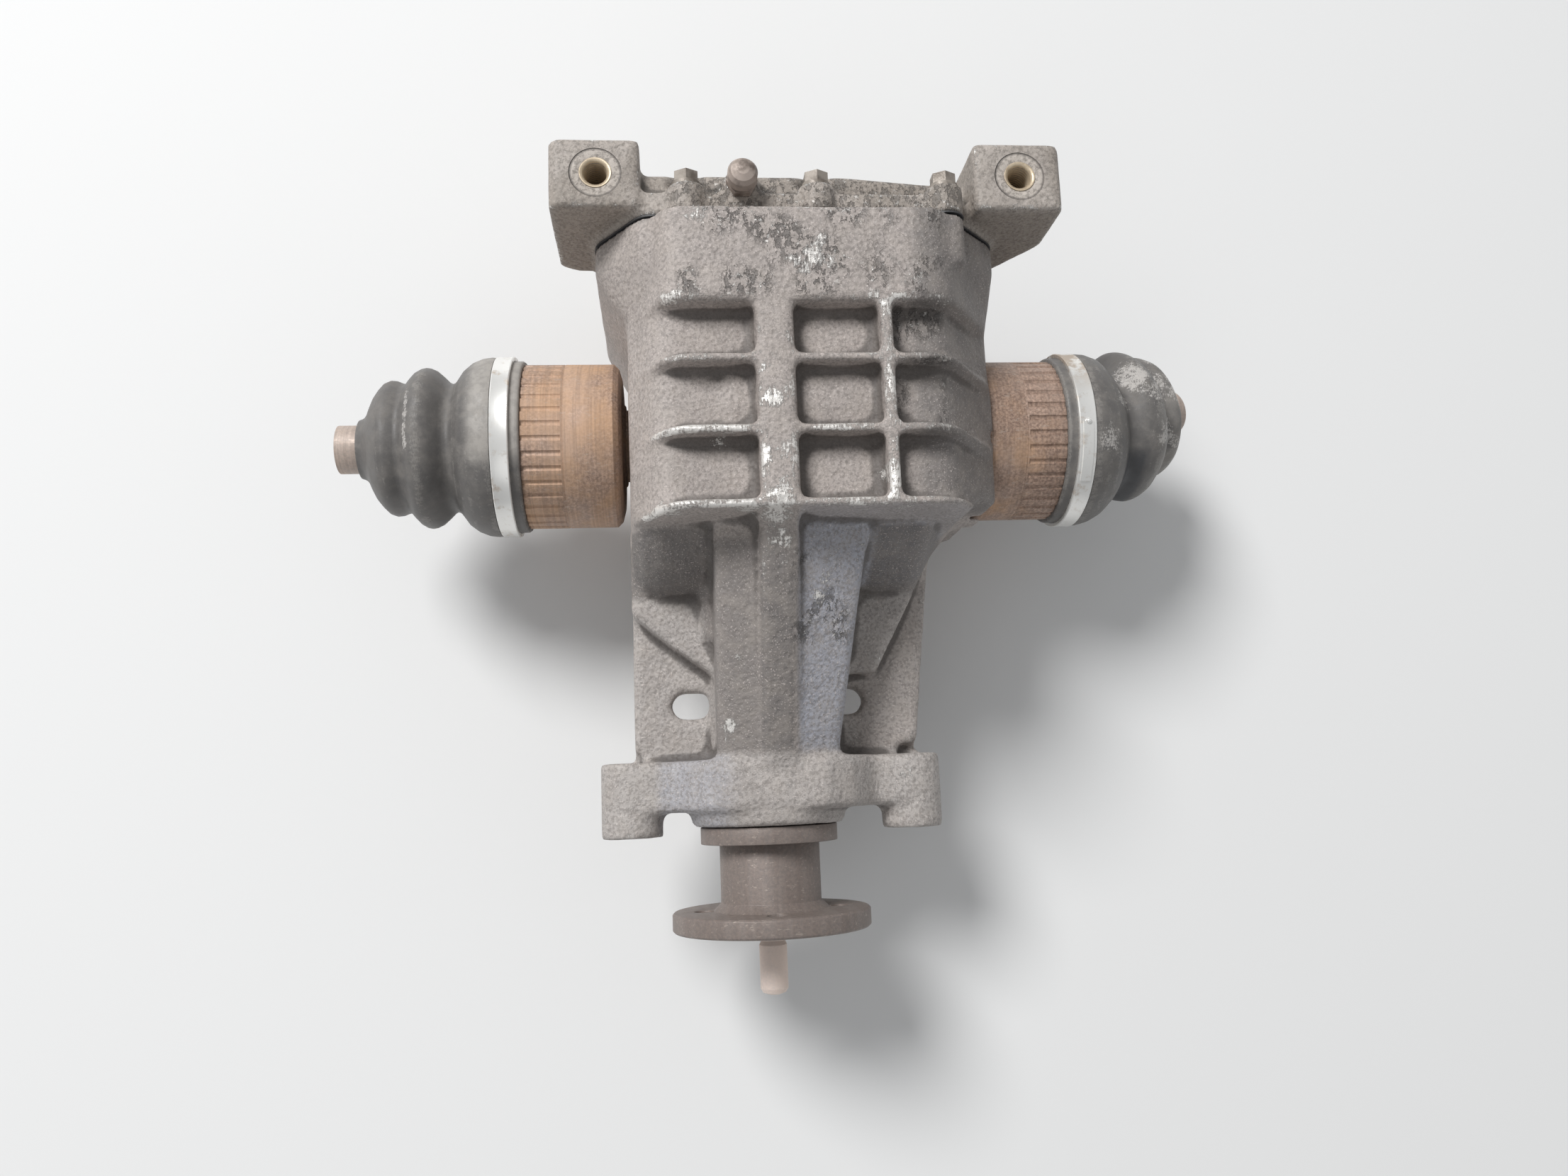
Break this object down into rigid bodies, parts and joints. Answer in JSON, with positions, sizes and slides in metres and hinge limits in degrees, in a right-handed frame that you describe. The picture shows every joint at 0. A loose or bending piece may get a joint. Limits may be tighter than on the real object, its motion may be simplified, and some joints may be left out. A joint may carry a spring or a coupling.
{
  "type": "rear differential",
  "caption": "Rear final drive of a car: ribbed alloy housing with eared rear cover, bevel gears and differential inside, driven through a flange, driving two sawn half-shafts.",
  "frame": {"origin": "centre of the companion flange's front face, on the pinion's centre line", "axes": "+X along the axle line towards the ring gear's side; -Y out of the companion flange, along the pinion's centre line; +Z towards the ribbed upper side of the housing"},
  "size_m": [0.4684, 0.411, 0.196],
  "materials": {
    "case_alloy": "dirty cast skin",
    "cover_alloy": "dirty cast skin, cleaner at the ears",
    "gasket": "matt sealing sheet",
    "zinc_bolts": "dull zinc plating",
    "bearing_steel": "ground and bright",
    "gear_steel": "ground teeth, dark oiled body",
    "case_iron": "machined and oiled cast iron",
    "washer_steel": "satin",
    "rusty_steel": "rust film over turned steel",
    "dark_steel": "aged dark steel",
    "band_steel": "bright band steel",
    "seal_rubber": "oily black",
    "boot_rubber": "dusty black",
    "breather_metal": "yellow zinc plating"
  },
  "bodies": {
    "housing": {"housing": "case_alloy", "rear_cover": "cover_alloy", "cover_gasket": "gasket", "cover_bolts": "zinc_bolts", "bearing_cap_left": "case_iron", "bearing_cap_right": "case_iron", "cap_bolts": "zinc_bolts", "side_shims": "washer_steel", "side_bearing_cup_left": "bearing_steel", "side_bearing_cup_right": "bearing_steel", "pinion_rear_cup": "bearing_steel", "pinion_front_cup": "bearing_steel", "pinion_seal": "seal_rubber", "axle_seal_left": "seal_rubber", "axle_seal_right": "seal_rubber", "filler_plug": "zinc_bolts", "drain_plug": "zinc_bolts", "breather": "breather_metal"},
    "pinion": {"pinion_shaft": "gear_steel", "depth_shim": "washer_steel", "pinion_rear_cone": "bearing_steel", "crush_sleeve": "washer_steel", "pinion_front_cone": "bearing_steel", "companion_flange": "dark_steel", "dust_deflector": "dark_steel", "pinion_nut": "zinc_bolts"},
    "pinion_rear_rollers": {"pinion_rear_rollers": "bearing_steel"},
    "pinion_front_rollers": {"pinion_front_rollers": "bearing_steel"},
    "side_rollers_left": {"side_rollers_left": "bearing_steel"},
    "side_rollers_right": {"side_rollers_right": "bearing_steel"},
    "carrier": {"ring_gear": "gear_steel", "ring_gear_bolts": "zinc_bolts", "differential_case": "case_iron", "side_bearing_cone_left": "bearing_steel", "side_bearing_cone_right": "bearing_steel", "cross_pin": "gear_steel", "cross_pin_lock": "washer_steel", "side_gear_washers": "washer_steel", "spider_washers": "washer_steel"},
    "spider_upper": {"spider_gear_upper": "gear_steel"},
    "spider_lower": {"spider_gear_lower": "gear_steel"},
    "left_output": {"side_gear_left": "gear_steel", "joint_housing_left": "rusty_steel", "stub_circlip_left": "washer_steel", "boot_clamp_left": "band_steel"},
    "left_boot": {"boot_left": "boot_rubber"},
    "left_shaft": {"half_shaft_left": "rusty_steel", "tripod_left": "gear_steel", "tripod_rollers_left": "bearing_steel", "tripod_ring_left": "washer_steel"},
    "right_output": {"side_gear_right": "gear_steel", "joint_housing_right": "rusty_steel", "stub_circlip_right": "washer_steel", "boot_clamp_right": "band_steel"},
    "right_boot": {"boot_right": "boot_rubber"},
    "right_shaft": {"half_shaft_right": "rusty_steel", "tripod_right": "gear_steel", "tripod_rollers_right": "bearing_steel", "tripod_ring_right": "washer_steel"}
  },
  "joints": [
    {"name": "carrier_spin", "type": "hinge", "parent": "housing", "child": "carrier", "pos_m": [0, 0.252, 0], "axis": [1, 0, 0], "continuous": true},
    {"name": "pinion_spin", "type": "hinge", "parent": "housing", "child": "pinion", "pos_m": [0, 0, 0], "axis": [0, 1, 0], "continuous": true},
    {"name": "rear_rollers_spin", "type": "hinge", "parent": "housing", "child": "pinion_rear_rollers", "pos_m": [0, 0, 0], "axis": [0, 1, 0], "continuous": true},
    {"name": "front_rollers_spin", "type": "hinge", "parent": "housing", "child": "pinion_front_rollers", "pos_m": [0, 0, 0], "axis": [0, 1, 0], "continuous": true},
    {"name": "left_rollers_spin", "type": "hinge", "parent": "housing", "child": "side_rollers_left", "pos_m": [0, 0.252, 0], "axis": [1, 0, 0], "continuous": true},
    {"name": "right_rollers_spin", "type": "hinge", "parent": "housing", "child": "side_rollers_right", "pos_m": [0, 0.252, 0], "axis": [1, 0, 0], "continuous": true},
    {"name": "left_output_spin", "type": "hinge", "parent": "carrier", "child": "left_output", "pos_m": [0, 0.252, 0], "axis": [1, 0, 0], "continuous": true},
    {"name": "right_output_spin", "type": "hinge", "parent": "carrier", "child": "right_output", "pos_m": [0, 0.252, 0], "axis": [1, 0, 0], "continuous": true},
    {"name": "upper_spider_spin", "type": "hinge", "parent": "carrier", "child": "spider_upper", "pos_m": [0.002, 0.252, 0], "axis": [0, 0, 1], "continuous": true},
    {"name": "lower_spider_spin", "type": "hinge", "parent": "carrier", "child": "spider_lower", "pos_m": [0.002, 0.252, 0], "axis": [0, 0, -1], "continuous": true},
    {"name": "left_joint_yaw", "type": "hinge", "parent": "left_output", "child": "left_boot", "pos_m": [-0.1048, 0.252, 0], "axis": [0, 0, 1], "range_deg": [-15, 15], "deforming": ["boot_left"]},
    {"name": "left_joint_pitch", "type": "hinge", "parent": "left_boot", "child": "left_shaft", "pos_m": [-0.1048, 0.252, 0], "axis": [0, 1, 0], "range_deg": [-15, 15], "deforming": ["boot_left"]},
    {"name": "right_joint_yaw", "type": "hinge", "parent": "right_output", "child": "right_boot", "pos_m": [0.144, 0.252, 0], "axis": [0, 0, 1], "range_deg": [-28.5, 1.5], "deforming": ["boot_right"]},
    {"name": "right_joint_pitch", "type": "hinge", "parent": "right_boot", "child": "right_shaft", "pos_m": [0.144, 0.252, 0], "axis": [-0.2334, 0.9724, 0], "range_deg": [-30, 0], "deforming": ["boot_right"]}
  ],
  "couplings": [
    {"joint": "pinion_spin", "follows": "carrier_spin", "ratio": 3.7273},
    {"joint": "rear_rollers_spin", "follows": "carrier_spin", "ratio": 1.5655},
    {"joint": "front_rollers_spin", "follows": "carrier_spin", "ratio": 1.6027},
    {"joint": "left_rollers_spin", "follows": "carrier_spin", "ratio": 0.43},
    {"joint": "right_rollers_spin", "follows": "carrier_spin", "ratio": 0.43},
    {"joint": "right_output_spin", "follows": "left_output_spin", "ratio": -1},
    {"joint": "upper_spider_spin", "follows": "left_output_spin", "ratio": 1.6},
    {"joint": "lower_spider_spin", "follows": "left_output_spin", "ratio": 1.6}
  ]
}
